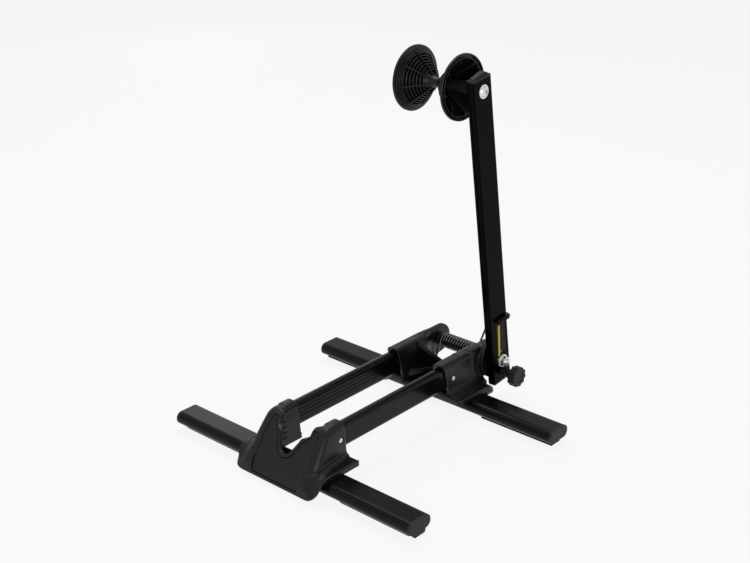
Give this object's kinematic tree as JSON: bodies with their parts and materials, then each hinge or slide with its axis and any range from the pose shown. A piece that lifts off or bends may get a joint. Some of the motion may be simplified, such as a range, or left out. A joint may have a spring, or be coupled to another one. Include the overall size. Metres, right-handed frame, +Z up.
{
  "type": "floor bike rack",
  "caption": "Floor bike rack: two cross feet joined by rails, a notched front cradle for a tyre, and a sprung folding arm that carries a twin-cone wheel roller.",
  "frame": {"origin": "on the floor, below the middle of the bounding box", "axes": "+X across the rack to the side of the arm, +Y from the tyre cradle to the arm, +Z up"},
  "size_m": [0.4, 0.3836, 0.4738],
  "materials": {
    "foot_black": "anodised satin black",
    "rail_black": "anodised satin black",
    "arm_black": "matt black powder coat",
    "moulding_grey": "fine moulded texture",
    "cap_black": "fine moulded texture",
    "cone_black": "satin moulded",
    "knob_black": "fine moulded texture",
    "pad_rubber": "dull, ribbed underneath",
    "sleeve_rubber": "ribbed",
    "spring_black": "gloss black",
    "bright_steel": "bright zinc plate",
    "dark_steel": "black oxide",
    "bush_plastic": "plain",
    "bush_grey": "plain",
    "label": "satin film with a plain yellow arrow"
  },
  "bodies": {
    "base": {"front_foot_bar": "foot_black", "rear_foot_bar": "foot_black", "front_foot_cap_left": "cap_black", "front_foot_cap_right": "cap_black", "rear_foot_cap_left": "cap_black", "rear_foot_cap_right": "cap_black", "front_pad_left": "pad_rubber", "front_pad_right": "pad_rubber", "rear_pad_left": "pad_rubber", "rear_pad_right": "pad_rubber", "left_rail": "rail_black", "right_rail": "rail_black", "front_cradle": "moulding_grey", "rear_bracket": "moulding_grey", "cradle_side_screws": "bright_steel", "bracket_side_screws": "bright_steel", "front_foot_bolts": "bright_steel", "rear_foot_bolts": "bright_steel", "front_foot_nuts": "bright_steel", "rear_foot_nuts": "bright_steel", "pivot_bolt": "bright_steel", "pivot_head_washer": "bright_steel", "pivot_nut_washer": "bright_steel", "pivot_nut": "bright_steel", "spring_mandrel": "bush_grey", "torsion_spring": "spring_black"},
    "arm": {"arm_tube": "arm_black", "arm_top_cap": "cap_black", "arm_bottom_cap": "cap_black", "pivot_bush": "bush_grey", "label_plate": "label", "plunger_barrel": "dark_steel", "plunger_spring": "bright_steel", "hook_sleeve": "sleeve_rubber", "roller_spacer": "dark_steel", "roller_axle": "bright_steel", "roller_nut": "bright_steel"},
    "roller": {"left_cone": "cone_black", "right_cone": "cone_black", "roller_bush_left": "bush_plastic", "roller_bush_right": "bush_plastic"},
    "plunger": {"plunger_pin": "bright_steel", "knob": "knob_black"}
  },
  "joints": [
    {"name": "arm_fold", "type": "hinge", "parent": "base", "child": "arm", "pos_m": [0, 0.1648, 0.057], "axis": [1, 0, 0], "range_deg": [-38, 82], "stiffness_Nm_per_rad": 6, "deforming": ["torsion_spring"]},
    {"name": "roller_spin", "type": "hinge", "parent": "arm", "child": "roller", "pos_m": [0, 0.11939, 0.43226], "axis": [1, 0, 0], "continuous": true},
    {"name": "knob_pull", "type": "slide", "parent": "arm", "child": "plunger", "axis": [1, 0, 0], "range_m": [0, 0.007], "stiffness_N_per_m": 600, "springref_m": -0.003, "deforming": ["plunger_spring"]}
  ]
}
